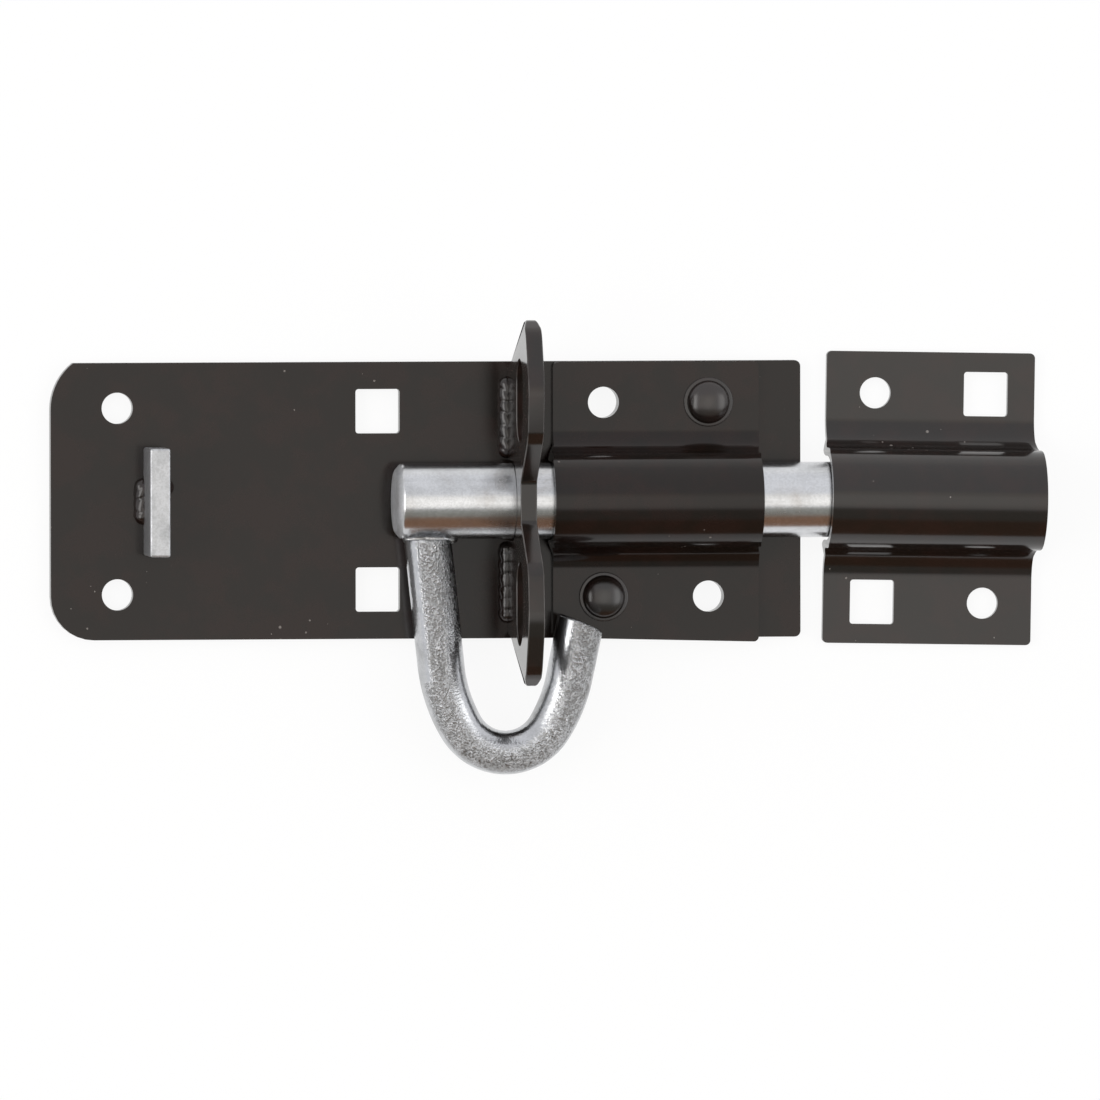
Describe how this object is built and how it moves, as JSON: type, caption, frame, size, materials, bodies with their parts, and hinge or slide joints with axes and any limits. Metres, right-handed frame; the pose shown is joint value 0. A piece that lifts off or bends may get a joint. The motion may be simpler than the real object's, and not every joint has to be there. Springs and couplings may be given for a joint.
{
  "type": "padbolt",
  "caption": "Padbolt: a round bolt with a J handle slides through a guide strap and a padlock staple plate on a back plate into a separate keeper.",
  "frame": {"origin": "middle of the back plate, on its back face, which lies on the door", "axes": "+X along the bolt towards the keeper, +Y across the bolt away from the handle, +Z out of the door"},
  "size_m": [0.1974, 0.0905, 0.036],
  "materials": {
    "enamelled_plate": "black-brown baked enamel, half gloss",
    "enamelled_strap": "black-brown baked enamel, half gloss",
    "enamelled_rivet": "black-brown baked enamel, half gloss",
    "enamelled_staple": "black-brown baked enamel, half gloss",
    "enamelled_weld": "black-brown baked enamel, half gloss",
    "enamelled_keeper": "black-brown baked enamel, half gloss",
    "zinc_bolt": "bright zinc plate",
    "zinc_lug": "bright zinc plate",
    "zinc_handle": "coarse zinc coat over forged rod",
    "zinc_weld": "coarse zinc coat over forged rod"
  },
  "bodies": {
    "base": {"back_plate": "enamelled_plate", "guide_strap": "enamelled_strap", "upper_rivet": "enamelled_rivet", "lower_rivet": "enamelled_rivet", "staple_plate": "enamelled_staple", "staple_weld_upper_left": "enamelled_weld", "staple_weld_upper_right": "enamelled_weld", "staple_weld_lower_left": "enamelled_weld", "staple_weld_lower_right": "enamelled_weld", "stop_lug": "zinc_lug", "lug_weld_left": "enamelled_weld", "lug_weld_right": "enamelled_weld", "keeper": "enamelled_keeper"},
    "bolt": {"bolt_bar": "zinc_bolt"},
    "handle": {"handle": "zinc_handle", "handle_weld": "zinc_weld"}
  },
  "joints": [
    {"name": "bolt_slide", "type": "slide", "parent": "base", "child": "bolt", "axis": [1, 0, 0], "range_m": [-0.004, 0.009]},
    {"name": "handle_turn", "type": "hinge", "parent": "bolt", "child": "handle", "pos_m": [-0.0015, 0, 0.0103], "axis": [-1, 0, 0], "range_deg": [-2.5, 182.5]}
  ]
}
